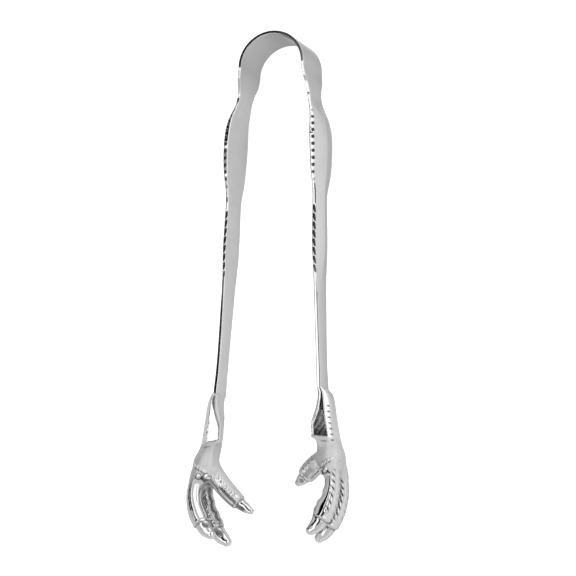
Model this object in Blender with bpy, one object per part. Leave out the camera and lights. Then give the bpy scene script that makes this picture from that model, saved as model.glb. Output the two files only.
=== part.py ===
"""Claw-footed ice tongs: a sprung bow, two gripped arms and two bird's-claw feet.

The tongs lie on a table. +Y runs along them towards the bow, +X across the
opening, and +Z up, along the width of the strip that they are rolled from.
The origin is on the lower edge of the bow, at its crown.
"""

import math

import bmesh
import bpy
import numpy as np
from mathutils import Vector

MM = 0.001

# Driving dimensions, in millimetres. A "depth" is a distance from the crown
# along the tongs, towards the feet.
BOW_RADIUS = 11.75          # centre line of the strip round the crown, across the tongs
BOW_RISE = 11.4             # the same, along the tongs: the crown is slightly flattened
BOW_THICKNESS = 1.1
BOW_WIDTH = 16.7
NECK_DEPTH = 23.0           # where the bow's legs end and the arms begin
SOCKET_DEPTH = 125.6        # where the arms enter the feet
TENON_LENGTH = 6.0
TENON_WIDTH = 4.4
TENON_THICKNESS = 0.8
SEAT_GAP = 0.3              # brazing gap round every seated end
ANKLE_DEPTH = 156.5         # end of the cast ankle, between the roots of the toes
LIP_DEPTH = 142.8           # lower end of the polished facet on each shank
TOE_DEPTH = 176.3           # centre of the round tip of the front talons
TOE_SPREAD = 5.3            # front talon tips from the middle plane

MIDDLE = BOW_WIDTH / 2      # height of the middle plane over the table

# Half the opening between the arms' inner faces: (depth, half opening).
OPENING = [
    (BOW_RISE, BOW_RADIUS - BOW_THICKNESS / 2),
    (17.0, 11.9),
    (NECK_DEPTH, 12.8),
    (31.0, 14.6),
    (45.0, 15.3),
    (74.0, 15.9),
    (101.0, 17.1),
    (115.0, 17.8),
    (SOCKET_DEPTH, 18.5),
]
# Half the width of the strip, bow's legs first: (depth, half width).
HALF_WIDTH = [
    (BOW_RISE, BOW_WIDTH / 2),
    (15.0, 8.0),
    (19.0, 6.1),
    (22.0, 5.35),
    (24.0, 5.6),
    (30.0, 7.3),
    (38.0, BOW_WIDTH / 2),
    (49.0, 7.5),
    (59.0, 5.3),
    (75.0, 5.6),
    (88.0, 4.6),
    (118.0, 3.7),
    (SOCKET_DEPTH, 4.0),
]
# Thickness at the edges, and how far the crowned outer face rises over them.
EDGE_THICKNESS = [
    (NECK_DEPTH, BOW_THICKNESS),
    (35.0, 2.05),
    (45.0, 1.95),
    (56.0, 1.4),
    (72.0, 1.55),
    (92.0, 1.3),
    (SOCKET_DEPTH, 1.4),
]
CROWN_RISE = [
    (NECK_DEPTH, 0.0),
    (30.0, 0.8),
    (40.0, 1.3),
    (59.0, 1.1),
    (75.0, 1.2),
    (88.0, 0.2),
    (SOCKET_DEPTH, 0.1),
]
# The four edges of a shank, as distances from the centre line. The section is
# skewed: its lower edges lie further out than its upper ones.
UPPER_INNER = [
    (SOCKET_DEPTH, 18.5),
    (129.0, 18.6),
    (134.0, 17.4),
    (138.5, 16.4),
    (LIP_DEPTH, 16.7),
    (145.0, 18.8),
    (150.0, 19.6),
    (ANKLE_DEPTH, 22.2),
]
UPPER_OUTER = [
    (SOCKET_DEPTH, 20.6),
    (129.0, 22.2),
    (131.0, 22.8),
    (LIP_DEPTH, 24.2),
    (148.0, 27.0),
    (152.0, 27.3),
    (ANKLE_DEPTH, 26.6),
]
LOWER_INNER = [
    (SOCKET_DEPTH, 18.4),
    (129.0, 18.6),
    (139.0, 19.0),
    (147.0, 20.2),
    (ANKLE_DEPTH, 22.4),
]
LOWER_OUTER = [
    (SOCKET_DEPTH, 20.7),
    (129.0, 22.4),
    (131.0, 23.0),
    (136.0, 24.0),
    (144.0, 26.0),
    (150.0, 27.3),
    (ANKLE_DEPTH, 27.6),
]
SHANK_HALF_WIDTH = [
    (SOCKET_DEPTH, 4.0),
    (LIP_DEPTH, 4.1),
    (149.0, 4.7),
    (ANKLE_DEPTH, 5.6),
]
ROUND_OVER = 0.35           # rounding of a shank's outer edges, as a part of its thickness

# The back toes differ, as cast: (centre-line distance, depth, height from the
# middle plane) along each one, root to tip.
BACK_TOE = {
    "left": [(22.8, 149.0, -0.3), (19.2, 154.5, -0.9), (15.1, 159.5, -1.5),
             (11.1, 163.6, -2.1), (7.4, 166.6, -2.5)],
    "right": [(23.6, 149.6, -0.3), (19.6, 150.8, -0.9), (16.0, 153.0, -1.5),
              (12.8, 155.6, -2.1), (10.3, 157.5, -2.5)],
}
# The two front toes of a foot spread apart, and the lower one reaches further.
FRONT_TOES = {
    "upper": [(23.6, 150.5, 2.2), (25.1, 157.0, 3.7), (25.4, 162.0, 4.5), (24.2, 167.0, 4.75),
              (22.3, 171.0, 4.8), (20.5, 173.7, 5.0), (18.5, TOE_DEPTH - 0.8, TOE_SPREAD)],
    "lower": [(23.6, 150.5, -2.2), (25.0, 157.0, -3.7), (25.0, 162.0, -4.5), (23.6, 167.0, -4.75),
              (21.6, 171.2, -4.8), (19.4, 174.3, -5.0), (17.2, TOE_DEPTH, -TOE_SPREAD)],
}
# Half thickness of a toe along its length: (part of the length, radius).
FRONT_GIRTH = [(0.0, 2.8), (0.3, 2.8), (0.45, 2.9), (0.68, 3.3), (0.78, 3.15), (0.84, 2.7),
               (0.93, 2.45), (1.0, 1.85)]
BACK_GIRTH = {
    "left": [(0.0, 3.3), (0.3, 3.1), (0.6, 3.05), (0.76, 2.8), (0.82, 2.2), (0.93, 1.8), (1.0, 1.3)],
    "right": [(0.0, 3.4), (0.3, 3.5), (0.66, 3.4), (0.76, 3.0), (0.83, 2.4), (0.93, 2.0), (1.0, 1.5)],
}
TOE_WIDENING = 1.05         # width of a toe over its thickness

# How finely the curved pieces are divided.
BOW_STEPS = 40
LEG_STEPS = 12
ARM_STEPS = 48
SHANK_STEPS = 16
TOE_STEPS = 18
TOE_SIDES = 14
CROWN_POINTS = 5

CHROME = {"colour": (0.72, 0.72, 0.73, 1.0), "roughness": 0.12, "metallic": 1.0}


def clear_scene():
    for thing in list(bpy.data.objects):
        bpy.data.objects.remove(thing, do_unlink=True)


def smooth_line(stations):
    """A smooth curve through (position, value) stations that never overshoots them."""
    at, value = np.array(stations, float).T
    step = np.diff(at)
    rise = np.diff(value) / step
    slope = np.zeros(len(at))
    for i in range(1, len(at) - 1):
        if rise[i - 1] * rise[i] > 0:
            slope[i] = 2 * rise[i - 1] * rise[i] / (rise[i - 1] + rise[i])
    slope[-1] = rise[-1]

    def curve(position):
        position = min(max(position, at[0]), at[-1])
        i = min(max(int(np.searchsorted(at, position)) - 1, 0), len(step) - 1)
        t = (position - at[i]) / step[i]
        ends = value[i] * (1 + 2 * t) * (1 - t) ** 2 + value[i + 1] * t * t * (3 - 2 * t)
        bends = slope[i] * t * (1 - t) ** 2 - slope[i + 1] * t * t * (1 - t)
        return float(ends + bends * step[i])

    return curve


def smooth_path(points):
    """A smooth curve in space through points, by part of its length from 0 to 1."""
    points = np.array(points, float)
    run = np.concatenate([[0.0], np.cumsum(np.linalg.norm(np.diff(points, axis=0), axis=1))])
    slope = np.gradient(points, run, axis=0)

    def curve(part):
        position = part * run[-1]
        i = min(max(int(np.searchsorted(run, position)) - 1, 0), len(points) - 2)
        h = run[i + 1] - run[i]
        t = (position - run[i]) / h
        ends = points[i] * (1 + 2 * t) * (1 - t) ** 2 + points[i + 1] * t * t * (3 - 2 * t)
        return ends + h * (slope[i] * t * (1 - t) ** 2 - slope[i + 1] * t * t * (1 - t))

    return curve


def chrome(name):
    """Bright plate, one material for each piece."""
    material = bpy.data.materials.new(name + "_chrome")
    material.use_nodes = True
    shader = material.node_tree.nodes["Principled BSDF"]
    shader.inputs["Base Color"].default_value = CHROME["colour"]
    shader.inputs["Roughness"].default_value = CHROME["roughness"]
    shader.inputs["Metallic"].default_value = CHROME["metallic"]
    return material


def loft(name, rings, origin=(0.0, 0.0, 0.0)):
    """One closed body through rings of points in millimetres, with a flat cap at each end."""
    bm = bmesh.new()
    start = Vector(origin)
    loops = [[bm.verts.new((Vector(p) - start) * MM) for p in ring] for ring in rings]
    count = len(rings[0])
    for one, other in zip(loops, loops[1:]):
        for i in range(count):
            j = (i + 1) % count
            bm.faces.new((one[i], one[j], other[j], other[i]))
    bm.faces.new(loops[0][::-1])
    bm.faces.new(loops[-1])
    bmesh.ops.recalc_face_normals(bm, faces=bm.faces)
    mesh = bpy.data.meshes.new(name)
    bm.to_mesh(mesh)
    bm.free()
    mesh.shade_smooth()
    mesh.set_sharp_from_angle(angle=math.radians(40))
    piece = bpy.data.objects.new(name, mesh)
    piece.location = start * MM
    bpy.context.scene.collection.objects.link(piece)
    return piece


def boolean(piece, tool, operation):
    """Join or cut one piece with a hidden tool."""
    tool.hide_render = True
    tool.display_type = "WIRE"
    step = piece.modifiers.new(tool.name, "BOOLEAN")
    step.operation = operation
    step.solver = "EXACT"
    step.object = tool


def bow():
    """The rolled strip: half a turn round the crown, and a narrowing leg on each side."""
    opening = smooth_line(OPENING)
    half_width = smooth_line(HALF_WIDTH)
    end = NECK_DEPTH - SEAT_GAP / 2
    rings = []

    def ring(inner, outer, half):
        low, high = MIDDLE - half, MIDDLE + half
        return [(*inner, low), (*outer, low), (*outer, high), (*inner, high)]

    def leg(side, depths):
        for depth in depths:
            x = opening(depth)
            inner = (side * x, -depth)
            outer = (side * (x + BOW_THICKNESS), -depth)
            rings.append(ring(inner, outer, half_width(depth)))

    depths = [BOW_RISE + (end - BOW_RISE) * i / LEG_STEPS for i in range(1, LEG_STEPS + 1)]
    leg(-1, reversed(depths))
    for i in range(BOW_STEPS + 1):
        angle = math.pi * (1 - i / BOW_STEPS)
        across, along = math.cos(angle), math.sin(angle)
        line = Vector((BOW_RADIUS * across, BOW_RISE * (along - 1)))
        outward = Vector((BOW_RISE * across, BOW_RADIUS * along)).normalized()
        inner = line - outward * BOW_THICKNESS / 2
        outer = line + outward * BOW_THICKNESS / 2
        rings.append(ring(inner, outer, BOW_WIDTH / 2))
    leg(1, depths)
    piece = loft("spring_bow", rings)
    piece.data.materials.append(chrome("spring_bow"))


def flexure_point(side):
    """Where an arm turns: a quarter of the bow bends as if hinged at its own centroid."""
    across, along = 2 * BOW_RADIUS / math.pi, 2 * BOW_RISE / math.pi
    return (side * across, along - BOW_RISE, MIDDLE)


def tenon_line():
    """How far from the centre line the middle of the tenon lies."""
    return smooth_line(OPENING)(SOCKET_DEPTH) + EDGE_THICKNESS[-1][1] / 2 + 0.2


def arm(name, side):
    """A flat inner face, square edges, a crowned outer face and a tenon for the foot."""
    opening = smooth_line(OPENING)
    half_width = smooth_line(HALF_WIDTH)
    edge = smooth_line(EDGE_THICKNESS)
    rise = smooth_line(CROWN_RISE)
    across = [1 - 2 * (i + 1) / (CROWN_POINTS + 1) for i in range(CROWN_POINTS)]

    def ring(depth, inner, half, thickness, crown):
        outer = inner + thickness
        points = [(inner, -half), (inner, half), (outer, half)]
        points += [(outer + crown * (1 - z * z), z * half) for z in across]
        points.append((outer, -half))
        return [(side * x, -depth, MIDDLE + z) for x, z in points]

    start = NECK_DEPTH + SEAT_GAP / 2
    end = SOCKET_DEPTH - SEAT_GAP / 2
    rings = []
    for i in range(ARM_STEPS + 1):
        depth = start + (end - start) * i / ARM_STEPS
        rings.append(ring(depth, opening(depth), half_width(depth), edge(depth), rise(depth)))
    seat = tenon_line() - TENON_THICKNESS / 2
    for depth in (end, end + TENON_LENGTH):
        rings.append(ring(depth, seat, TENON_WIDTH / 2, TENON_THICKNESS, 0.0))
    piece = loft(name, rings, flexure_point(side))
    piece.data.materials.append(chrome(name))


def toe(name, side, points, girth, origin):
    """A toe with its talon: an oval tube along a curved path, rounded at both ends."""
    path = smooth_path(points)
    radius = smooth_line(girth)
    tip = radius(1.0)
    rings = []
    for i in range(TOE_STEPS + 4):
        part = min(i / TOE_STEPS, 1.0)
        beyond = math.radians((0, 30, 58, 80)[max(i - TOE_STEPS, 0)])
        centre = Vector(path(part))
        ahead = Vector(path(min(part + 0.01, 1.0))) - Vector(path(max(part - 0.01, 0.0)))
        ahead.normalize()
        centre += ahead * tip * math.sin(beyond)
        size = radius(part) * math.cos(beyond)
        level = ahead.cross(Vector((0, 0, 1))).normalized()
        upright = level.cross(ahead)
        ring = []
        for k in range(TOE_SIDES):
            turn = 2 * math.pi * k / TOE_SIDES
            at = centre + level * size * math.cos(turn)
            at += upright * size * TOE_WIDENING * math.sin(turn)
            ring.append((side * at.x, -at.y, MIDDLE + at.z))
        rings.append(ring)
    return loft(name, rings, origin)


def claw(name, side):
    """A cast foot: shank and ankle, two front toes and a back toe, with a blind socket."""
    upper_inner, upper_outer = smooth_line(UPPER_INNER), smooth_line(UPPER_OUTER)
    lower_inner, lower_outer = smooth_line(LOWER_INNER), smooth_line(LOWER_OUTER)
    half_width = smooth_line(SHANK_HALF_WIDTH)
    origin = flexure_point(side)
    start = SOCKET_DEPTH + SEAT_GAP / 2
    rings = []
    for i in range(SHANK_STEPS + 1):
        depth = start + (ANKLE_DEPTH - start) * i / SHANK_STEPS
        half = half_width(depth)
        ui, uo = upper_inner(depth), upper_outer(depth)
        li, lo = lower_inner(depth), lower_outer(depth)
        over = ROUND_OVER * (uo - ui)
        points = [
            (li, -half), (ui, half), (uo - over, half), (uo, half - over),
            (lo, over - half), (lo - over, -half),
        ]
        rings.append([(side * x, -depth, MIDDLE + z) for x, z in points])
    foot = loft(name, rings, origin)
    foot.data.materials.append(chrome(name))

    for place, points in FRONT_TOES.items():
        boolean(foot, toe(f"{name}_{place}_toe", side, points, FRONT_GIRTH, origin), "UNION")
    label = "left" if side < 0 else "right"
    back = toe(f"{name}_back_toe", side, BACK_TOE[label], BACK_GIRTH[label], origin)
    boolean(foot, back, "UNION")

    half, reach = TENON_WIDTH / 2 + SEAT_GAP, TENON_THICKNESS / 2 + SEAT_GAP
    line = tenon_line()
    socket = []
    for depth in (SOCKET_DEPTH - 1.0, SOCKET_DEPTH + TENON_LENGTH + SEAT_GAP / 2):
        corners = [(line - reach, -half), (line + reach, -half), (line + reach, half), (line - reach, half)]
        socket.append([(side * x, -depth, MIDDLE + z) for x, z in corners])
    boolean(foot, loft(f"{name}_socket", socket, origin), "DIFFERENCE")


def main():
    clear_scene()
    bow()
    for label, side in (("left", -1), ("right", 1)):
        arm(f"{label}_arm", side)
        claw(f"{label}_claw", side)


main()
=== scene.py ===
"""Looks of the claw-footed ice tongs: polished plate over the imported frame."""

import math

import bpy
import numpy as np
import openvdb
from mathutils import Matrix, Vector


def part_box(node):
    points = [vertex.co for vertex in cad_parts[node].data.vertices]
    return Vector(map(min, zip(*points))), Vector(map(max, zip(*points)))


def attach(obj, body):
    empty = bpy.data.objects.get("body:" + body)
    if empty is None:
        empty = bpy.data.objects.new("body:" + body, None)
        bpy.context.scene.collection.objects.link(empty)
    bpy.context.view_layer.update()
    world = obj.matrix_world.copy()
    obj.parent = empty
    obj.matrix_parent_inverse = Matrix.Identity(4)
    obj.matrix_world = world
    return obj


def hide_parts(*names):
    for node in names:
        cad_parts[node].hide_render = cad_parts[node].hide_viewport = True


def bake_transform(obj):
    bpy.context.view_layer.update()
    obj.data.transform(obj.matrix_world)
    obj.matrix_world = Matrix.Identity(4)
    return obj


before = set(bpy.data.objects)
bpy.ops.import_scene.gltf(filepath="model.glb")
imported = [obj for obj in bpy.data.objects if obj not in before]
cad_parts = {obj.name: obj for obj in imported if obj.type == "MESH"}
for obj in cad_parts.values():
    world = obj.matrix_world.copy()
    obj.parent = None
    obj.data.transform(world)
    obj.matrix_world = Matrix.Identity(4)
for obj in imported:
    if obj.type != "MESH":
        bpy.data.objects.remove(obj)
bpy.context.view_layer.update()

MM = 0.001
SIDES = {"left": -1, "right": 1}

# ---------------------------------------------------------------- dimensions, in millimetres

# A "depth" is a distance from the crown of the bow towards the feet.
BOW_LOW, BOW_HIGH = (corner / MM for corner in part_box("spring_bow"))
MIDDLE = (BOW_LOW.z + BOW_HIGH.z) / 2
BOW_HALF_WIDTH = (BOW_HIGH.z - BOW_LOW.z) / 2
BOW_THICKNESS = 2 * BOW_HIGH.y
BOW_RADIUS = 11.75          # of the strip's middle line, across the tongs
BOW_RISE = 11.4             # and along them
NECK_DEPTH = 23.0           # where the bow meets the arms
SOCKET_DEPTH = 125.6        # where the arms enter the feet
# Radius of the strip's corners, as (depth, radius): sharp on the bow, soft on the grips.
CORNER = [(0.0, 0.12), (20.0, 0.12), (29.0, 0.45), (86.0, 0.45), (100.0, 0.3), (SOCKET_DEPTH, 0.3)]
CROWN_STEP = 0.05           # first ring beside the crown, in degrees
RING_STEP = 1.2             # and then between rings round the bow
BEND_SHADE = 0.13              # how much painted shade darkens the bent part of the bow

BEADS = (29.0, 54.5, 2.45)  # round pits: first depth, last depth, pitch
BEAD_RADIUS = 0.66
BOLD_BEADS = (35.5, 47.0)   # between these depths they are at their boldest
LINE = (55.2, 61.4)         # a plain cut below them
STROKES = (63.7, 86.0, 3.0)             # then slanted cuts, given as the pits are
STROKE_RADIUS = 0.72
STROKE_HALF = 0.8           # half the length of a slanted cut, without its round ends
STROKE_LEAN = 0.34          # how far it moves across the wall per millimetre of depth
WALL_CUT = 0.55             # depth of the cuts in the wall
FACE_CUT = 0.6              # and in the outer face
LEAF_PITCH = 3.4
RELIEF = (27.0, 87.5)       # where the outer face of a grip is chased
SEATED = 0.6                # how far an arm's end reaches inside its foot

LIP_DEPTH = 142.8           # where the facet's lower lip is, at its inner corner
LIP_CORNER = 17.0           # that corner's distance from the centre line
LIP_SLANT = 0.15            # how far the lip drops towards the outer side, per millimetre
NOTCH_RANGE = (131.5, 144.5)
NOTCH_PITCH = 2.0
FOLDS = (151.9, 154.4)      # folds of skin behind the toes
ANKLE_DEPTH = 156.5         # where the shank ends between the toes
TOE_DEPTH = 176.3           # where the middle line of the longest toe ends
TOE_WIDENING = 1.05         # a toe's width over its thickness
SKIN = 0.1                  # how far the cast surface lies inside the plain CAD toe
SCUTE_PITCH = 2.15
SCUTE_CUT = 0.36            # half width of the cuts between scutes
SCUTE_SLANT = 1.3           # how far the cuts between scutes lean, in pitches per radian
KNOT_PITCH = 1.1
# The band of knots: its depth, the distance from the centre line where it has that depth,
# and how much deeper it lies for each millimetre closer to that line.
KNOT_BAND = (151.4, 25.0, 0.6)
BUTTONS = [(20.6, 155.4, 1.6), (23.3, 155.1, 1.1)]     # (from the centre line, depth, radius)
VOXEL = 0.2
COARSE = 1.0                # first, rough pass over a foot's volume
BAND = 1.7                  # thickness round the surface that the fine pass covers
MARGIN = 1.5                # room round a foot's volume
SHARP = 50                  # edges that turn by more degrees than this stay sharp


def smooth_line(stations):
    """A smooth curve through (position, value) stations that never overshoots them."""
    at, value = np.array(stations, float).T
    step = np.diff(at)
    rise = np.diff(value) / step
    slope = np.zeros(len(at))
    for i in range(1, len(at) - 1):
        if rise[i - 1] * rise[i] > 0:
            slope[i] = 2 * rise[i - 1] * rise[i] / (rise[i - 1] + rise[i])
    slope[-1] = rise[-1]

    def curve(position):
        position = np.clip(position, at[0], at[-1])
        i = np.clip(np.searchsorted(at, position) - 1, 0, len(step) - 1)
        t = (position - at[i]) / step[i]
        ends = value[i] * (1 + 2 * t) * (1 - t) ** 2 + value[i + 1] * t * t * (3 - 2 * t)
        bends = slope[i] * t * (1 - t) ** 2 - slope[i + 1] * t * t * (1 - t)
        return ends + bends * step[i]

    return curve


def smoothstep(low, high, value):
    """0 below low, 1 above high and a soft step between them."""
    t = np.clip((value - low) / (high - low), 0, 1)
    return t * t * (3 - 2 * t)


def window(low, high, soft, value):
    """1 between low and high, fading to 0 over a soft width outside them."""
    return smoothstep(low - soft, low, value) * (1 - smoothstep(high, high + soft, value))


def bell(value, width):
    """1 at 0, fading away beyond a half width."""
    return np.exp(-((value / width) ** 2))


# ---------------------------------------------------------------- meshes


def profile(label):
    """Curves down one whole side of the strip: inner face, edge, crown and half width by depth."""
    rows = np.concatenate([rows_of("spring_bow"), rows_of(f"{label}_arm")])
    rows = rows[(rows[:, 0] > BOW_RISE - 0.02) & (rows[:, 0] < SOCKET_DEPTH)]
    return [smooth_line(rows[:, (0, k)]) for k in (1, 2, 3, 4)]


def rows_of(node):
    """The CAD strip's cross-sections: (depth, inner face, edge, crown, half width) for each."""
    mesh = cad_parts[node].data
    co = np.array([v.co for v in mesh.vertices]) / MM
    rows = []
    for depth in np.unique(np.round(-co[:, 1], 2)):
        ring = co[np.abs(co[:, 1] + depth) < 0.006]
        reach, height = np.abs(ring[:, 0]), ring[:, 2] - MIDDLE
        top = reach[height > height.max() - 0.01]
        rows.append((depth, reach.min(), top.max(), reach.max(), height.max()))
    return np.array(rows)


def enclosed(points, faces):
    """Six times the volume inside the faces, below 0 when they face inwards."""
    total = 0.0
    for k in range(2, max(len(f) for f in faces)):
        fan = np.array([(f[0], f[k - 1], f[k]) for f in faces if len(f) > k])
        a, b, c = (points[fan[:, j]] for j in range(3))
        total += np.einsum("ij,ij->i", a, np.cross(b, c)).sum()
    return total


def mesh_from(name, points, faces, painted_shade=None, satin=None):
    """One closed, smooth-shaded body from points in millimetres, with its faces outwards."""
    points = np.asarray(points, float) * MM
    faces = [tuple(f) for f in faces]
    if enclosed(points, faces) < 0:
        faces = [f[::-1] for f in faces]
    mesh = bpy.data.meshes.new(name)
    mesh.from_pydata(points.tolist(), [], faces)
    mesh.update()
    mesh.shade_smooth()
    mesh.set_sharp_from_angle(angle=math.radians(SHARP))
    for layer_name, value in (("painted_shade", painted_shade), ("satin", satin)):
        if value is not None:
            layer = mesh.attributes.new(layer_name, "FLOAT", "POINT")
            layer.data.foreach_set("value", np.asarray(value, np.float32))
    piece = bpy.data.objects.new(name, mesh)
    bpy.context.scene.collection.objects.link(piece)
    return piece


def tube_faces(rings, around):
    """Quads between rings of points, and one flat cap at each end."""
    i, k = np.meshgrid(np.arange(rings - 1), np.arange(around), indexing="ij")
    j = (k + 1) % around
    quads = np.stack([i * around + k, i * around + j, (i + 1) * around + j, (i + 1) * around + k], -1)
    faces = quads.reshape(-1, 4).tolist()
    faces.append(list(range(around))[::-1])
    faces.append(list(range((rings - 1) * around, rings * around)))
    return faces


class Outline:
    """Points round the strip's cross-section: inner face, upper wall, outer face, lower wall."""

    FAR = -9.0                  # edge distance given to the inner face and its corners

    def __init__(self, inner, wall, corner, outer):
        turn = np.linspace(0, 1, corner + 2)[1:-1]
        part = [("inner", np.linspace(-1, 1, inner))]
        part += [("in_up", turn), ("up", self.framed(wall)), ("out_up", turn)]
        part += [("outer", self.crowded(outer))]
        part += [("out_low", turn), ("low", self.framed(wall)[::-1]), ("in_low", turn)]
        self.part = part

    @staticmethod
    def framed(count):
        """Places across a wall, with two close to its ends so that it shines flat up to them."""
        return np.concatenate([[0], np.linspace(0.04, 0.96, count - 2), [1]])

    @staticmethod
    def crowded(count):
        """Places across the outer face, closer together towards both edges."""
        even = np.linspace(1, -1, count)
        return even * (1 + 0.25 * (1 - even * even))

    def place(self, thickness, half, crown, radius):
        """(reach from the inner face, height, edge distance) for every point of one ring each.

        The edge distance is 0 on the outer corner, below 0 on the wall and above 0 on the outer face.
        """
        reach, height, edge = [], [], []
        one = np.ones_like(thickness)[:, None]
        t, w, rise, f = (value[:, None] for value in (thickness, half, crown, radius))

        def add(r, h, e):
            shape = np.broadcast_shapes(r.shape, h.shape, one.shape)
            reach.append(np.broadcast_to(r, shape))
            height.append(np.broadcast_to(h, shape))
            edge.append(np.broadcast_to(e, shape))

        for kind, at in self.part:
            u = at[None, :]
            sign = -1 if kind.endswith("low") else 1
            angle = u * math.pi / 2
            if kind == "inner":
                add(0 * u * one, u * (w - f), self.FAR + 0 * u * one)
            elif kind == "in_up":
                up = w - f + f * np.sin(angle)
                add(f - f * np.cos(angle) + 0 * w, up, self.FAR + 0 * u * one)
            elif kind == "in_low":
                down = f - w - f * np.cos(angle)
                add(f - f * np.sin(angle) + 0 * w, down, self.FAR + 0 * u * one)
            elif kind in ("up", "low"):
                r = f + u * (t - 2 * f)
                add(r, sign * w + 0 * u, r - t)
            elif kind == "out_up":
                add(t - f + f * np.sin(angle), w - f + f * np.cos(angle), (u - 0.5) * f + 0 * t)
            elif kind == "out_low":
                add(t - f + f * np.cos(angle), f - w - f * np.sin(angle), (0.5 - u) * f + 0 * t)
            else:
                h = u * (w - f)
                add(t + rise * (1 - u * u), h, w - np.abs(h))
        return (np.concatenate(x, 1) for x in (reach, height, edge))


def strip(name, side, line, normal, thickness, half, crown, outline, relief=None):
    """A strip along a line of points. Line and normal hold one (x, y) for each ring.

    A relief gives, for every point, how far it sinks into the wall, how far it
    lifts off the face and how much painted shade darkens it.
    """
    depth = -line[:, 1]
    radius = smooth_line(CORNER)(depth)
    reach, height, edge = outline.place(thickness, half, crown, radius)
    painted_shade = np.zeros_like(reach)
    if relief is not None:
        down, lift, painted_shade = relief(depth[:, None] + 0 * reach, height, edge, half[:, None])
        reach = reach + lift
        height = height - np.sign(height) * down
    x = side * (line[:, :1] + normal[:, :1] * reach)
    y = line[:, 1:] + normal[:, 1:] * reach
    points = np.stack([x, y, MIDDLE + height], -1)
    rings, around = reach.shape
    return mesh_from(name, points.reshape(-1, 3), tube_faces(rings, around), painted_shade.ravel())


# ---------------------------------------------------------------- bow


def bend_shade(depth, height, edge, half):
    """No relief on the bow, but painted shade makes its metal a little darker where it is bent."""
    return 0 * depth, 0 * depth, BEND_SHADE * (1 - smoothstep(13, 22, depth))


def bow_half(label, side):
    """Half of the sprung bow, from its crown to the neck."""
    opening, edge, _, half_width = profile(label)
    from_crown = np.concatenate([[0, CROWN_STEP, 0.5], np.arange(RING_STEP, 89.5, RING_STEP)])
    turn = np.radians(90 - from_crown)
    across, along = np.cos(turn), np.sin(turn)
    arc = np.stack([BOW_RADIUS * across, BOW_RISE * (along - 1)], -1)
    outward = np.stack([BOW_RISE * across, BOW_RADIUS * along], -1)
    outward /= np.linalg.norm(outward, axis=1)[:, None]
    arc -= outward * BOW_THICKNESS / 2
    down = np.linspace(BOW_RISE, NECK_DEPTH, 44)
    straight = np.stack([opening(down), -down], -1)
    line = np.concatenate([arc, straight])
    normal = np.concatenate([outward, np.tile([1.0, 0.0], (len(down), 1))])
    half = np.concatenate([np.full(len(turn), BOW_HALF_WIDTH), half_width(down)])
    thick = np.concatenate([np.full(len(turn), BOW_THICKNESS), edge(down) - opening(down)])
    outline = Outline(inner=24, wall=5, corner=4, outer=25)
    piece = strip(f"{label}_bow", side, line, normal, thick, half, 0 * thick, outline, bend_shade)
    reach = opening(NECK_DEPTH) + BOW_THICKNESS / 2
    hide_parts("spring_bow")
    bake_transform(piece)
    return piece


# ---------------------------------------------------------------- arms


def pit(distance, radius):
    """A round-bottomed pit: 1 in its middle, fading to 0 at its edge."""
    return 1 - smoothstep(0.35 * radius, 1.15 * radius, distance)


def nearest(depth, first, last, pitch):
    """The depth of the nearest mark in a row of evenly spaced ones."""
    number = np.clip(np.round((depth - first) / pitch), 0, int((last - first) / pitch))
    return first + number * pitch


def border_cuts(depth, edge):
    """The row of pits, the line and the slanted cuts along each edge of a grip."""
    bead = nearest(depth, *BEADS)
    bold = 0.2 + 0.8 * window(*BOLD_BEADS, 7.0, bead)
    beads = bold * pit(np.hypot(depth - bead, (edge + 0.45) / 1.25), BEAD_RADIUS)
    line = 0.8 * pit(np.abs(edge + 0.1), 0.32) * window(*LINE, 0.4, depth)
    line += 0.5 * pit(np.abs(edge), 0.22) * smoothstep(RELIEF[1], 96, depth)
    ahead = depth - nearest(depth, *STROKES)
    across = edge + 0.5 - STROKE_LEAN * ahead
    strokes = pit(np.hypot(across, np.maximum(np.abs(ahead) - STROKE_HALF, 0)), STROKE_RADIUS)
    fading = 1 - 0.6 * smoothstep(74, 86, depth)
    return np.maximum(np.maximum(beads, line), fading * strokes)


def chasing(depth, height, edge, half):
    """The grip's ornament: cuts along its edges with painted shade in them, and a leaf and a rib on
    its outer face.
    """
    cuts = border_cuts(depth, edge)
    toward_wall = 1 - smoothstep(-0.3, 0.3, edge)
    sink = WALL_CUT * cuts * toward_wall
    lift = -FACE_CUT * cuts * (1 - toward_wall)

    across = np.abs(height) / half
    field = window(*RELIEF, 2.0, depth) * (1 - smoothstep(0.6, 0.8, across)) * (edge > 0)
    leaf = np.cos((depth - 1.4 * np.abs(height)) * 2 * math.pi / LEAF_PITCH)
    lift = lift + field * (0.08 * bell(height, 0.6) + 0.02 * leaf * smoothstep(0.1, 0.35, across))
    rim = 0.05 * bell(edge - 1.35, 0.25) * window(*RELIEF, 1.0, depth)
    lift = lift - rim * (edge > 0)
    # The third value is the shade painted into the cuts.
    return sink, lift, np.clip(cuts * 2.2, 0, 1)


def arm(label, side):
    """A plain flat arm below a swelling, chased grip."""
    opening, edge, crown, half = profile(label)
    fine = 0.16
    depth = np.concatenate([
        np.arange(NECK_DEPTH, RELIEF[0], 0.4),
        np.arange(RELIEF[0], RELIEF[1] + 2, fine),
        np.arange(RELIEF[1] + 2.5, SOCKET_DEPTH, 0.7),
        [SOCKET_DEPTH + SEATED],
    ])
    inner = opening(depth)
    line = np.stack([inner, -depth], -1)
    normal = np.tile([1.0, 0.0], (len(depth), 1))
    outline = Outline(inner=34, wall=9, corner=6, outer=72)
    thick = edge(depth) - inner
    piece = strip(
        f"{label}_grip_arm", side, line, normal, thick, half(depth), crown(depth) - edge(depth),
        outline, chasing,
    )
    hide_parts(f"{label}_arm")
    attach(piece, f"{label}_side")
    return piece


# ---------------------------------------------------------------- feet

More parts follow.
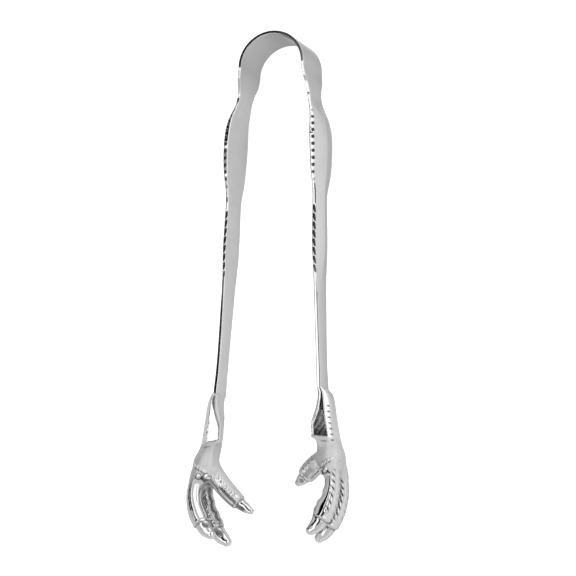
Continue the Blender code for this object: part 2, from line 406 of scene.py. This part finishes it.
# Edges of the cast shank, as (depth, distance from the centre line). The upper
# edges are the ones away from the table.
SHANK = {
    "upper_inner": [
        (SOCKET_DEPTH, 18.5), (129.0, 18.6), (134.0, 17.4), (138.5, 16.4), (LIP_DEPTH, 16.7),
        (144.6, 18.8), (150.0, 19.6), (ANKLE_DEPTH, 22.2),
    ],
    "upper_outer": [
        (SOCKET_DEPTH, 20.1), (126.2, 20.5), (127.4, 21.6), (129.0, 22.3), (131.0, 22.8),
        (LIP_DEPTH, 24.2), (148.0, 27.0), (152.0, 27.3), (ANKLE_DEPTH, 26.6),
    ],
    "lower_inner": [
        (SOCKET_DEPTH, 18.45), (129.0, 18.6), (139.0, 19.0), (147.0, 20.2), (ANKLE_DEPTH, 22.4),
    ],
    "lower_outer": [
        (SOCKET_DEPTH, 20.15), (126.2, 20.6), (127.4, 21.7), (129.0, 22.5), (131.0, 23.0),
        (136.0, 24.0), (144.0, 26.0), (150.0, 27.3), (ANKLE_DEPTH, 27.6),
    ],
    "half_width": [(SOCKET_DEPTH, 4.0), (LIP_DEPTH, 4.1), (149.0, 4.7), (ANKLE_DEPTH, 5.6)],
}
# Inner and outer edge of each shank's polished facet, in the same way. It is
# narrower on the left foot.
FACET = {
    "left": (
        [(SOCKET_DEPTH, 19.2), (128.5, 19.9), (133.7, 18.8), (138.8, 17.4), (LIP_DEPTH, 17.6),
         (146.0, 19.5), (ANKLE_DEPTH, 23.0)],
        [(SOCKET_DEPTH, 20.0), (128.5, 20.6), (133.7, 21.1), (138.8, 21.7), (LIP_DEPTH + 1, 22.1),
         (ANKLE_DEPTH, 24.0)],
    ),
    "right": (
        [(SOCKET_DEPTH, 18.9), (128.0, 19.6), (133.0, 19.1), (136.0, 18.0), (139.0, 16.9),
         (LIP_DEPTH, 17.2), (146.0, 19.5), (ANKLE_DEPTH, 23.0)],
        [(SOCKET_DEPTH, 19.9), (128.0, 20.8), (136.0, 21.8), (LIP_DEPTH + 1, 23.2),
         (ANKLE_DEPTH, 24.5)],
    ),
}
NOTCHES = {"left": 0.2, "right": 1.0}           # depth of the notches beside the facet, and how dark the shade painted in them
FACET_SHADOW = {"left": 1.0, "right": 0.0}      # strength of the dark line along its inner edge

# Middle lines of the toes, as (distance from the centre line, depth, height
# over the middle), and their radii along them, from 0 at the root to 1.
BACK_TOE = {
    "left": [
        (22.8, 149.4, 0.6), (19.0, 155.2, -0.2), (14.9, 160.2, -1.2), (11.0, 164.0, -2.0),
        (7.4, 166.6, -2.5),
    ],
    "right": [
        (23.6, 149.6, 0.7), (19.6, 150.8, 0.3), (16.0, 152.9, -0.8), (12.8, 155.5, -1.9),
        (10.3, 157.5, -2.5),
    ],
}
FRONT_TOES = {
    "upper": [
        (23.6, 150.5, 2.2), (25.1, 157.0, 3.7), (25.4, 162.0, 4.5), (24.2, 167.0, 4.75),
        (22.3, 171.0, 4.8), (20.5, 173.7, 5.0), (18.5, TOE_DEPTH - 0.8, 5.3),
    ],
    "lower": [
        (23.6, 150.5, -2.2), (25.0, 157.0, -3.7), (25.0, 162.0, -4.5), (23.6, 167.0, -4.75),
        (21.6, 171.2, -4.8), (19.4, 174.3, -5.0), (17.2, TOE_DEPTH, -5.3),
    ],
}
FRONT_GIRTH = [
    (0.0, 2.8), (0.3, 2.8), (0.45, 2.9), (0.68, 3.3), (0.79, 3.2), (0.82, 2.8), (0.93, 2.45),
    (1.0, 1.85),
]
BACK_GIRTH = {
    "left": [(0.0, 3.5), (0.3, 3.3), (0.6, 3.15), (0.77, 2.8), (0.8, 2.3), (0.93, 1.8), (1.0, 1.3)],
    "right": [(0.0, 3.4), (0.3, 3.5), (0.66, 3.4), (0.77, 3.05), (0.81, 2.5), (0.93, 2.0), (1.0, 1.5)],
}
FRONT_CUTICLE = 0.8         # where a talon starts, as a part of the toe's length
BACK_CUTICLE = 0.785


class Toe:
    """A curved tapering tube, and where a point lies along and round it."""

    SAMPLES = 72
    AT_ONCE = 60000             # points located at a time, to save memory

    def __init__(self, points, girth, back, cuticle):
        points = np.array(points, float)
        run = np.concatenate([[0], np.cumsum(np.linalg.norm(np.diff(points, axis=0), axis=1))])
        slope = np.gradient(points, run, axis=0)
        s = np.linspace(0, run[-1], self.SAMPLES)
        i = np.clip(np.searchsorted(run, s) - 1, 0, len(points) - 2)
        h = (run[i + 1] - run[i])[:, None]
        t = (s[:, None] - run[i][:, None]) / h
        ends = points[i] * (1 + 2 * t) * (1 - t) ** 2 + points[i + 1] * t * t * (3 - 2 * t)
        self.centre = ends + h * (slope[i] * t * (1 - t) ** 2 - slope[i + 1] * t * t * (1 - t))
        ahead = np.gradient(self.centre, axis=0)
        self.ahead = ahead / np.linalg.norm(ahead, axis=1)[:, None]
        back = np.array(back, float) - self.ahead * (self.ahead @ np.array(back, float))[:, None]
        self.back = back / np.linalg.norm(back, axis=1)[:, None]
        self.across = np.cross(self.ahead, self.back)
        self.across *= np.sign(self.across[:, 2:])
        self.flank = 1 if points[-1, 2] > 0 else -1
        self.length = np.linalg.norm(np.diff(self.centre, axis=0), axis=1).sum()
        self.girth = smooth_line(girth)
        self.cuticle = cuticle
        self.crease_shade = 1.0             # how deep the cuts between the scutes are, and how dark the shade painted in them
        self.shade = 0.0            # how dark the hollows of the talon and the back toe are
        self.gnarled = 1.0          # how lumpy the side towards the other front toe is, and how much shade is painted there
        self.swell = 0.0            # how much thicker its sole is, in millimetres

    def locate(self, points):
        """(part of the length, angle from the back, distance from the middle line) of points."""
        part, angle, reach = (np.empty(len(points)) for _ in range(3))
        norm = (self.centre ** 2).sum(1)
        for start in range(0, len(points), self.AT_ONCE):
            p = points[start:start + self.AT_ONCE]
            near = np.argmin(norm - 2 * p @ self.centre.T, axis=1)
            off = p - self.centre[near]
            along = (off * self.ahead[near]).sum(1)
            step = self.length / (self.SAMPLES - 1)
            low = np.where(near == 0, 0, -step)
            high = np.where(near == self.SAMPLES - 1, 0, step)
            inside = np.clip(along, low, high)
            off = off - self.ahead[near] * inside[:, None]
            beyond = along - inside
            a = (off * self.back[near]).sum(1)
            b = (off * self.across[near]).sum(1)
            span = slice(start, start + len(p))
            part[span] = (near * step + inside) / self.length
            angle[span] = np.arctan2(b, a)
            reach[span] = np.sqrt(a * a + (b / TOE_WIDENING) ** 2 + beyond ** 2)
        return part, angle, reach


def scutes(toe, part, angle, rows):
    """Rows of small plates down a toe: how far each point stands out, and the painted shade in the
    cuts.

    A row is (its angle from the toe's back, its half width, both in degrees, its strength).
    """
    down = window(0.22, toe.cuticle - 0.1, 0.03, part)
    lift, crease = 0 * part, 0 * part
    for number, (at, width, amount) in enumerate(rows):
        off = np.abs(angle) - math.radians(at)
        row = down * amount * bell(off, math.radians(width))
        plate = (part * toe.length / SCUTE_PITCH + number % 2 / 2 + SCUTE_SLANT * off) % 1.0
        cut = bell(np.minimum(plate, 1 - plate) * SCUTE_PITCH, SCUTE_CUT)
        lift = lift + row * (0.2 - 0.6 * cut) * (0.1 + 0.9 * toe.crease_shade)
        # Shade is painted into the cuts between the plates.
        crease = np.maximum(crease, np.clip(1.2 * row, 0, 1) * cut * toe.crease_shade)
    return lift, crease


def stipple(along, around):
    """A close pattern of soft spots, about 0.5 mm wide and 1 in their middles."""
    wave = np.sin(along * 6.1 + 1.3 * np.sin(around * 1.7))
    wave = wave * np.sin(around * 6.7 + 0.9 * np.sin(along * 2.3))
    return smoothstep(0.0, 0.7, wave)


def turned(angle):
    """The same angle between -pi and pi."""
    return np.angle(np.exp(1j * angle))


def gap_stipple_shade(toe, part, angle, outside):
    """Stippled metal on the side towards the other front toe, with painted shade there: its depth and
    its shade.
    """
    gap_side = smoothstep(-0.1, 0.2, -outside) * smoothstep(-0.1, 0.2, outside + math.pi)
    gap_mask = window(0.28, toe.cuticle - 0.03, 0.08, part) * gap_side * toe.gnarled
    gap_mask = gap_mask * bell(np.abs(angle) - math.radians(144), math.radians(25))
    grain = stipple(part * toe.length, angle * toe.girth(part))
    # The second value is the shade painted on the side that faces the other toe.
    return 0.07 * gap_mask * grain, gap_mask * (0.5 + 0.4 * grain)


def sole_facet(toe, part, outside, reach):
    """The broad smooth facet of a front toe: how far it stands out, and where it is plain."""
    tilt = turned(outside - math.radians(138 - 9 * toe.gnarled))
    broad = window(0.3, toe.cuticle - 0.03, 0.05, part)
    level = reach * np.cos(tilt) - (toe.girth(part) - 1.0)
    cut = np.clip(level, 0, 1.2) * broad * (np.cos(tilt) > 0)
    seam = bell(tilt + 0.1, 0.1) * window(0.3, 0.5, 0.06, part)
    swelling = toe.swell * bell(tilt - 0.6, 0.8) * bell(part - 0.68, 0.16)
    around = np.where(outside < -math.pi / 4, outside + 2 * math.pi, outside)
    plain = broad * window(math.radians(84), math.radians(225 - 39 * toe.gnarled), 0.2, around)
    return swelling - cut - 0.12 * seam, plain


def pads(toe, part, outside):
    """Three soft lumps along the inner side of a front toe."""
    inward = turned(outside + math.radians(172))
    lumps = bell(part - 0.44, 0.05) + bell(part - 0.62, 0.045) + 1.2 * bell(part - 0.74, 0.045)
    return (0.45 * toe.gnarled + 0.3 * toe.swell) * lumps * bell(inward, 0.6)


def front_relief(toe, part, angle, reach):
    """A front toe: plates on its back, stipple and painted shade in the gap, a smooth facet and pads
    on its sole.
    """
    outside = angle * toe.flank
    rows = [(0, 13, 0.3), (58, 13, 0.8), (94, 14, 1.0)]
    skin, crease = scutes(toe, part, angle, rows)
    # Two grooves along the toe, with shade painted in them.
    for at in (38, 76):
        groove = bell(np.abs(angle) - math.radians(at), math.radians(4))
        groove = groove * window(0.25, toe.cuticle - 0.1, 0.03, part)
        skin = skin - 0.1 * groove
        crease = np.maximum(crease, 0.15 * groove)
    deep, crease_shade = gap_stipple_shade(toe, part, angle, outside)
    facet, plain = sole_facet(toe, part, outside, reach)
    skin = (skin - deep) * (1 - plain) + facet + pads(toe, part, outside)
    return skin, np.clip(crease + crease_shade, 0, 1) * (1 - plain)


def back_relief(toe, part, angle, reach):
    """The back toe: plates above, a long hollow on each flank, a smooth rounded sole."""
    rows = [(0, 20, 0.25), (46, 13, 0.15)]
    skin, crease = scutes(toe, part, angle, rows)
    turn = np.abs(angle)
    hollow = bell(turn - math.radians(112), 0.34) * window(0.52, toe.cuticle - 0.06, 0.14, part)
    ridge = bell(turn - math.radians(76), 0.16) * window(0.3, toe.cuticle - 0.03, 0.05, part)
    wrinkles = stipple(part * toe.length * 0.7, angle * toe.girth(part))
    wrinkles = wrinkles * bell(turn - math.radians(66), 0.42)
    wrinkles = wrinkles * window(0.25, toe.cuticle - 0.12, 0.08, part)
    # Shade is painted in the hollows and among the wrinkles.
    crease = np.clip(crease + 0.8 * toe.shade * hollow + 0.2 * wrinkles, 0, 1)
    return skin - 0.6 * hollow + 0.12 * ridge - 0.2 * wrinkles, crease


def talon_relief(toe, part, angle):
    """The step at the cuticle, and an oval hollow on each flank of the talon."""
    rim = 0.12 * bell(part - toe.cuticle + 0.012, 0.014)
    bed = bell(part - toe.cuticle - 0.018, 0.012)
    tilt = np.abs(angle) - math.radians(118)
    hollow = bell(tilt, 0.5) * bell(part - 0.5 * (1 + toe.cuticle) + 0.01, 0.3 * (1 - toe.cuticle))
    # Shade is painted on the bed below the cuticle and in the hollows.
    return rim - 0.12 * bed - 0.26 * hollow, 0.6 * bed + toe.shade * smoothstep(0.3, 0.7, hollow)


def smooth_max(a, b, soft):
    """The larger of two values, rounded where they are nearly equal."""
    h = np.clip(0.5 + 0.5 * (a - b) / soft, 0, 1)
    return b + (a - b) * h + soft * h * (1 - h)


def smooth_min(a, b, soft):
    """The smaller of two values, rounded where they are nearly equal."""
    return -smooth_max(-a, -b, soft)


SHANK_LINES = {name: smooth_line(stations) for name, stations in SHANK.items()}
FACET_LINES = {label: [smooth_line(stations) for stations in pair] for label, pair in FACET.items()}


def facet_depth(x, depth, inside, beside):
    """How deep the polished facet lies. It slopes inwards and is dished, mostly near its lip."""
    slope = np.clip(0.08 * beside, 0, 0.5)
    uneven = np.sin(x * 1.9 + 1.2 * np.sin(depth * 0.9)) * np.sin(depth * 1.7 + x)
    dish = 0.12 + 0.28 * smoothstep(133, 141, depth) + 0.004 * uneven
    return slope + dish * smoothstep(0, 0.3, inside) * smoothstep(0, 0.25, beside)


def notch_row(depth, beside, height):
    """A row of small notches beside the facet's outer edge."""
    first, last = NOTCH_RANGE
    row = (depth - first + NOTCH_PITCH / 2) / NOTCH_PITCH % 1.0
    notch = bell(np.minimum(row, 1 - row) * NOTCH_PITCH, 0.26) * window(first, last, 0.5, depth)
    return notch * bell(beside + 1.25, 0.36) * smoothstep(0, 1.5, height)


def skin_folds(x, depth, height, lip):
    """Two folds of skin behind the toes, and one below the facet's lip."""
    behind = bell(depth - FOLDS[0], 0.3) + bell(depth - FOLDS[1], 0.3)
    behind = behind * smoothstep(21.0, 23.5, x) * smoothstep(2.0, 4.0, height)
    below = bell(depth - lip - 1.3, 0.28) * bell(x - 21.8, 1.2) * smoothstep(2.5, 3.5, height)
    return behind, below


def shank(points, label):
    """The cast shank: skewed, with a dished facet on each edge and notches beside it."""
    x, depth, z = points.T
    height = np.abs(z)
    line = {name: curve(depth) for name, curve in SHANK_LINES.items()}
    up = np.clip(0.5 + z / line["half_width"] / 2, 0, 1)
    inner = line["lower_inner"] + (line["upper_inner"] - line["lower_inner"]) * up
    outer = line["lower_outer"] + (line["upper_outer"] - line["lower_outer"]) * up
    over = height - line["half_width"]
    facet_inner, facet_outer = (curve(depth) for curve in FACET_LINES[label])
    inside = x - facet_inner
    beside = facet_outer - x
    lip = LIP_DEPTH + LIP_SLANT * (x - LIP_CORNER)
    framed = 1 - smoothstep(lip - 0.5, lip - 0.1, depth)
    notch = notch_row(depth, beside, height) * NOTCHES[label]
    fold, below = skin_folds(x, depth, height, lip)

    below_lip = smoothstep(144, 150, depth)
    face = over + facet_depth(x, depth, inside, beside) * framed
    bevel = -0.62 * beside + 0.78 * over - 0.9 * below_lip
    rim = -0.66 * inside + 0.75 * over - 0.5 * below_lip
    d = smooth_max(inner - x, face, 0.3 + 1.5 * below_lip)
    d = smooth_max(d, rim, 0.2 + 1.0 * below_lip)
    d = smooth_max(d, bevel + 0.35 * notch, 0.25 + 2.0 * below_lip)
    d = smooth_max(d, x - outer - 0.25 * (1 - below_lip), 0.6 + 1.7 * below_lip)
    d = smooth_max(d, depth - ANKLE_DEPTH, 1.5)
    d = np.maximum(d + 0.2 * fold + 0.18 * below, SOCKET_DEPTH - depth)

    shadow = bell(inside + 0.1, 0.12 + 0.26 * (1 - smoothstep(129.5, 132.0, depth)))
    shadow *= window(127.5, 137.5, 1.0, depth) * smoothstep(2.2, 3.2, height) * FACET_SHADOW[label]
    # Painted shade in the notches and the folds, and a painted shadow along the facet's inner edge.
    crease = np.clip(0.9 * notch + 0.6 * fold + 0.6 * below + 0.85 * shadow, 0, 1)
    satin = 1 - 0.92 * framed * smoothstep(-0.1, 0.1, inside) * smoothstep(-2.6, -2.2, beside)
    return d + SKIN / 3, crease, satin


def knuckles(points):
    """The band and the buttons over the roots of the toes, and the shade painted round them."""
    x, depth, z = points.T
    face = smoothstep(2.5, 4.0, np.abs(z))
    band_depth, band_x, slant = KNOT_BAND
    behind = depth - band_depth - slant * (band_x - x)
    knots = 0.65 + 0.35 * np.cos(x * 2 * math.pi / KNOT_PITCH)
    bump = 0.36 * knots * bell(behind, 0.5) * window(21.4, 26.0, 0.5, x)
    # Painted shade between the knots, just beyond the band.
    crease_shade = (1.2 - knots) * bell(behind - 0.9, 0.3) * window(21.4, 25.0, 0.5, x)
    for at_x, at_depth, radius in BUTTONS:
        away = np.hypot(x - at_x, depth - at_depth) / radius
        bump = bump + 0.55 * radius * (1 - smoothstep(0.3, 1.15, away))
        # A painted shadow on the deeper side of each button.
        crease_shade = crease_shade + 0.85 * bell(away - 1.15, 0.22) * smoothstep(-0.6, 0.6, depth - at_depth)
    return bump * face, crease_shade * face


class Foot:
    """The whole casting as a distance field: below 0 inside the metal."""

    def __init__(self, label):
        self.label = label
        upper, lower = (Toe(points, FRONT_GIRTH, (1, 0, 0), FRONT_CUTICLE)
                        for points in FRONT_TOES.values())
        back = Toe(BACK_TOE[label], BACK_GIRTH[label], (-1, -1, 0), BACK_CUTICLE)
        self.toes = [(upper, front_relief), (lower, front_relief), (back, back_relief)]
        if label == "left":
            for toe in (upper, lower, back):
                toe.crease_shade, toe.shade = 0.4, 0.75
            upper.crease_shade, upper.gnarled = 0.1, 0.0
        else:
            back.shade = 0.6
            upper.swell = 1.2

    def field(self, points):
        """Distance, painted shade and satin at each point."""
        total, painted_shade, satin = shank(points, self.label)
        for toe, relief in self.toes:
            part, angle, reach = toe.locate(points)
            skin, crease = relief(toe, part, angle, reach)
            more, bed = talon_relief(toe, part, angle)
            d = reach - toe.girth(part) + SKIN - skin - more
            closer = d < total
            painted_shade = np.where(closer, np.clip(crease + bed, 0, 1), painted_shade)
            dull = 0.7 * smoothstep(0.2, 0.8, np.cos(angle)) * (part < toe.cuticle)
            satin = np.where(closer, np.maximum(dull, 1 - smoothstep(0.2, 0.4, part)), satin)
            total = smooth_min(total, d, 0.5 + 1.9 * (1 - smoothstep(0.15, 0.45, part)))
        bump, crease_shade = knuckles(points)
        return total - bump, np.clip(painted_shade + crease_shade, 0, 1), satin * (1 - np.clip(3 * bump, 0, 1))


def refined(values, factor, shape):
    """Each coarse cell's value repeated over the fine points inside it."""
    for axis in range(3):
        values = np.repeat(values, factor, axis=axis)
    return values[:shape[0], :shape[1], :shape[2]]


def foot(label, side):
    """Carve the casting out of its distance field."""
    low, high = (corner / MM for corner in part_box(f"{label}_claw"))
    reach = sorted((abs(low.x), abs(high.x)))
    start = np.array([reach[0], -high.y, low.z - MIDDLE]) - MARGIN
    end = np.array([reach[1], -low.y, high.z - MIDDLE]) + MARGIN
    shape_of = Foot(label)
    factor = round(COARSE / VOXEL)
    count = np.ceil((end - start) / (VOXEL * factor)).astype(int)

    def grid(step, numbers, shift):
        axes = [start[k] + shift + step * np.arange(numbers[k]) for k in range(3)]
        return np.stack(np.meshgrid(*axes, indexing="ij"), -1)

    coarse = grid(VOXEL * factor, count, VOXEL * (factor - 1) / 2)
    rough = shape_of.field(coarse.reshape(-1, 3))[0].reshape(count)
    fine_count = count * factor
    rough = refined(rough, factor, fine_count)
    points = grid(VOXEL, fine_count, 0.0)
    values = np.clip(rough, -BAND, BAND)
    near = np.abs(rough) < BAND
    values[near] = shape_of.field(points[near])[0]

    volume = openvdb.FloatGrid(background=float(BAND))
    volume.copyFromArray(values.astype(np.float32))
    corners, quads = volume.convertToQuads(isovalue=0.0)
    corners = np.array(corners, float) * VOXEL + start
    for _ in range(2):
        corners = settled(shape_of, corners)
    painted_shade, satin = shape_of.field(corners)[1:]
    placed = np.stack([side * corners[:, 0], -corners[:, 1], MIDDLE + corners[:, 2]], -1)
    piece = mesh_from(f"{label}_foot", placed, quads.tolist(), painted_shade, satin)
    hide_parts(f"{label}_claw")
    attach(piece, f"{label}_side")
    return piece


def settled(shape, points):
    """Points moved onto the field's zero surface along its slope."""
    h = VOXEL / 4
    value = shape.field(points)[0]
    slope = np.stack([
        (shape.field(points + step)[0] - shape.field(points - step)[0]) / (2 * h)
        for step in np.eye(3) * h
    ], -1)
    steep = np.maximum((slope ** 2).sum(1), 0.25)
    move = np.clip(value / steep, -VOXEL / 2, VOXEL / 2)
    return points - slope * move[:, None]


# ---------------------------------------------------------------- materials


def node(tree, kind, **values):
    """A new node, with its inputs or its settings given by name."""
    made = tree.nodes.new(kind)
    for name, value in values.items():
        if name in made.inputs:
            made.inputs[name].default_value = value
        else:
            setattr(made, name, value)
    return made


SILVER = (0.415, 0.415, 0.419)
SHADE_COLOUR = (0.035, 0.034, 0.032)       # the colour of the painted shade in the deepest cuts
WIPE_MARKS = (900, 60, 900)         # across, along and up: fine marks that run along the tongs
BLOOM_SCALE = 130.0
RIPPLE_DEPTH = 0.0004


def noise(tree, place, scale, detail):
    """Noise over the object's own coordinates."""
    made = node(tree, "ShaderNodeTexNoise", Scale=scale, Detail=detail)
    tree.links.new(place, made.inputs["Vector"])
    return made.outputs["Fac"]


def scaled(tree, factor, amount, base):
    """base + amount x factor."""
    made = node(tree, "ShaderNodeMath", operation="MULTIPLY_ADD")
    made.inputs[1].default_value = amount
    tree.links.new(factor, made.inputs[0])
    tree.links.new(base, made.inputs[2])
    return made.outputs["Value"]


def plate(name, roughness, ripple, wear):
    """Polished plate: fine wipe marks, faint ripples, and painted shade with duller metal in every
    crease.
    """
    material = bpy.data.materials.new(name)
    material.use_nodes = True
    tree = material.node_tree
    shader = tree.nodes["Principled BSDF"]
    shader.inputs["Metallic"].default_value = 1.0
    shader.inputs["Specular Tint"].default_value = (0.55, 0.55, 0.55, 1)
    place = node(tree, "ShaderNodeTexCoord")
    painted_shade = node(tree, "ShaderNodeAttribute", attribute_name="painted_shade")
    satin = node(tree, "ShaderNodeAttribute", attribute_name="satin")

    along = node(tree, "ShaderNodeMapping", Scale=WIPE_MARKS)
    tree.links.new(place.outputs["Object"], along.inputs["Vector"])
    wipe = noise(tree, along.outputs["Vector"], 1.0, 3.0)
    bloom = noise(tree, place.outputs["Object"], BLOOM_SCALE, 2.0)

    gloss = node(tree, "ShaderNodeMapRange", **{"To Min": roughness, "To Max": roughness + wear})
    tree.links.new(wipe, gloss.inputs["Value"])
    dull = scaled(tree, painted_shade.outputs["Fac"], 0.3, gloss.outputs["Result"])
    soft = scaled(tree, satin.outputs["Fac"], 0.5, dull)
    tree.links.new(soft, shader.inputs["Roughness"])

    mottle = {"From Min": 0.3, "From Max": 0.7, "To Min": 0.97, "To Max": 1.03}
    shade = node(tree, "ShaderNodeMapRange", **mottle)
    tree.links.new(bloom, shade.inputs["Value"])
    tint = node(tree, "ShaderNodeMix", data_type="RGBA", blend_type="MULTIPLY")
    tint.inputs[0].default_value = 1.0
    tint.inputs[6].default_value = (*SILVER, 1)
    tree.links.new(shade.outputs["Result"], tint.inputs[7])
    # Shade painted into the creases and the bow's bend darkens the colour.
    shade_mix = node(tree, "ShaderNodeMix", data_type="RGBA")
    shade_mix.inputs[7].default_value = (*SHADE_COLOUR, 1)
    tree.links.new(painted_shade.outputs["Fac"], shade_mix.inputs[0])
    tree.links.new(tint.outputs[2], shade_mix.inputs[6])
    tree.links.new(shade_mix.outputs[2], shader.inputs["Base Color"])

    bump = node(tree, "ShaderNodeBump", Strength=ripple, Distance=RIPPLE_DEPTH)
    tree.links.new(bloom, bump.inputs["Height"])
    tree.links.new(bump.outputs["Normal"], shader.inputs["Normal"])
    return material


# ---------------------------------------------------------------- stage

# The camera's direction and roll in degrees, and its distance in metres.
AZIMUTH, ELEVATION, ROLL = 23.64, -12.87, 1.67
DISTANCE = 1.417
SENSOR = 36
FOCAL_LENGTH = 257.2
SHIFT = (0.0243, -0.0022)
AIM = Vector((0, -0.089, MIDDLE * MM))


def view_direction():
    """From the tongs to the camera."""
    a, e = math.radians(AZIMUTH), math.radians(ELEVATION)
    return Vector((math.sin(a) * math.cos(e), math.sin(e), math.cos(a) * math.cos(e)))


def camera():
    """Above the table, a little to the right of the tongs and below their middle."""
    back = view_direction()
    right = Vector((math.cos(math.radians(AZIMUTH)), 0, -math.sin(math.radians(AZIMUTH))))
    up = back.cross(right)
    turn = math.radians(ROLL)
    across = right * math.cos(turn) + up * math.sin(turn)
    upright = up * math.cos(turn) - right * math.sin(turn)
    data = bpy.data.cameras.new("camera")
    data.sensor_width = SENSOR
    data.lens = FOCAL_LENGTH
    data.shift_x, data.shift_y = SHIFT
    data.clip_start = 0.01
    thing = bpy.data.objects.new("camera", data)
    basis = Matrix((across, upright, back)).transposed().to_4x4()
    thing.matrix_world = Matrix.Translation(AIM + back * DISTANCE) @ basis
    bpy.context.scene.collection.objects.link(thing)
    bpy.context.scene.camera = thing


HANG = 0.5                  # height of the level cards over the table, in metres
FLOOR_HALF = 3.0            # half the size of the table top, in metres
FLOOR_GREY = 0.55
FLOOR_GLOW = 0.76
WORLD_GLOW = 1.15
BOX_GLOW = 2.6

# Outlines of the level cards, in metres. Their edges stand where a polished
# level edge of the strip changes from dark to light as the camera sees it.
LEFT_FLAG = [
    (-0.228, -0.048), (-0.228, 0.042), (-0.246, 0.047), (-0.246, 0.106), (-0.215, 0.110),
    (-0.215, 0.134), (-0.188, 0.136), (-0.185, 0.160), (-0.300, 0.400), (-0.390, 0.725),
    (-0.550, 1.200), (-1.200, 1.200), (-1.200, -0.060), (-0.420, -0.060), (-0.420, -0.170),
    (-0.266, -0.170), (-0.266, -0.048),
]
RIGHT_FLAG = [
    (0.050, -0.45), (0.260, -0.45), (0.260, 0.10), (0.110, 0.10), (0.110, -0.12), (0.050, -0.12),
]
UPPER_BOX = [
    (0.100, -0.11), (0.100, 1.10), (-0.500, 1.10), (-0.380, 0.740), (-0.290, 0.42),
    (-0.180, 0.165), (-0.180, 0.131), (-0.208, 0.129), (-0.208, 0.105), (-0.241, 0.101),
    (-0.241, 0.051), (-0.222, 0.046), (-0.222, -0.052), (-0.262, -0.052), (-0.262, -0.110),
]
LOWER_BOX = [(-0.232, -0.80), (0.03, -0.80), (0.03, -0.13), (-0.232, -0.13)]


def emitter(name, colour, strength):
    """A surface that glows evenly. A strength of 0 makes it black."""
    material = bpy.data.materials.new(name)
    material.use_nodes = True
    tree = material.node_tree
    tree.nodes.clear()
    light = node(tree, "ShaderNodeEmission", Strength=strength)
    light.inputs["Color"].default_value = (*colour, 1)
    out = node(tree, "ShaderNodeOutputMaterial")
    tree.links.new(light.outputs[0], out.inputs[0])
    return material


def card(name, corners, material):
    """A flat card in the air, from its corners in metres. The camera doesn't see it."""
    mesh = bpy.data.meshes.new(name)
    mesh.from_pydata(corners, [], [tuple(range(len(corners)))])
    mesh.materials.append(material)
    thing = bpy.data.objects.new(name, mesh)
    thing.visible_camera = False
    bpy.context.scene.collection.objects.link(thing)
    return thing


def level_card(name, outline, material):
    """A card that hangs level over the tongs."""
    return card(name, [(x, y, HANG) for x, y in outline], material)


def upright_card(name, x, y_range, z_range, material):
    """A card that stands beside the tongs."""
    (y0, y1), (z0, z1) = y_range, z_range
    return card(name, [(x, y0, z0), (x, y1, z0), (x, y1, z1), (x, y0, z1)], material)


def floor():
    """A pale glossless table top that glows a little, as a lit white sweep does."""
    mesh = bpy.data.meshes.new("floor")
    s = FLOOR_HALF
    mesh.from_pydata([(-s, -s, 0), (s, -s, 0), (s, s, 0), (-s, s, 0)], [], [(0, 1, 2, 3)])
    material = bpy.data.materials.new("pale_floor")
    material.use_nodes = True
    shader = material.node_tree.nodes["Principled BSDF"]
    shader.inputs["Base Color"].default_value = (FLOOR_GREY, FLOOR_GREY, FLOOR_GREY, 1)
    shader.inputs["Roughness"].default_value = 1.0
    shader.inputs["Specular IOR Level"].default_value = 0.0
    shader.inputs["Emission Color"].default_value = (1, 1, 1, 1)
    shader.inputs["Emission Strength"].default_value = FLOOR_GLOW
    mesh.materials.append(material)
    thing = bpy.data.objects.new("floor", mesh)
    bpy.context.scene.collection.objects.link(thing)


def studio():
    """A white room with two black flags and three brighter boxes, which the plate reflects."""
    scene = bpy.context.scene
    world = bpy.data.worlds.new("studio")
    world.use_nodes = True
    background = world.node_tree.nodes["Background"]
    background.inputs["Color"].default_value = (1, 1, 1, 1)
    background.inputs["Strength"].default_value = WORLD_GLOW
    scene.world = world
    black = emitter("black_flag", (0, 0, 0), 0.0)
    bright = emitter("soft_box", (1, 1, 1), BOX_GLOW)
    level_card("left_flag", LEFT_FLAG, black)
    level_card("right_flag", RIGHT_FLAG, black)
    level_card("upper_box", UPPER_BOX, bright)
    level_card("lower_box", LOWER_BOX, bright)
    upright_card("right_box", 0.55, (-0.50, 0.75), (0.14, 0.65), bright)
    scene.view_settings.view_transform = "Standard"
    floor()


# ---------------------------------------------------------------- build


def main():
    """Make both sides of the tongs, the studio and the camera."""
    rolled = plate("rolled_plate", roughness=0.03, ripple=0.02, wear=0.03)
    chased = plate("chased_plate", roughness=0.035, ripple=0.03, wear=0.04)
    cast = plate("cast_plate", roughness=0.05, ripple=0.08, wear=0.05)
    for label, side in SIDES.items():
        for make, material in ((bow_half, rolled), (arm, chased), (foot, cast)):
            make(label, side).data.materials.append(material)
    studio()
    camera()


main()
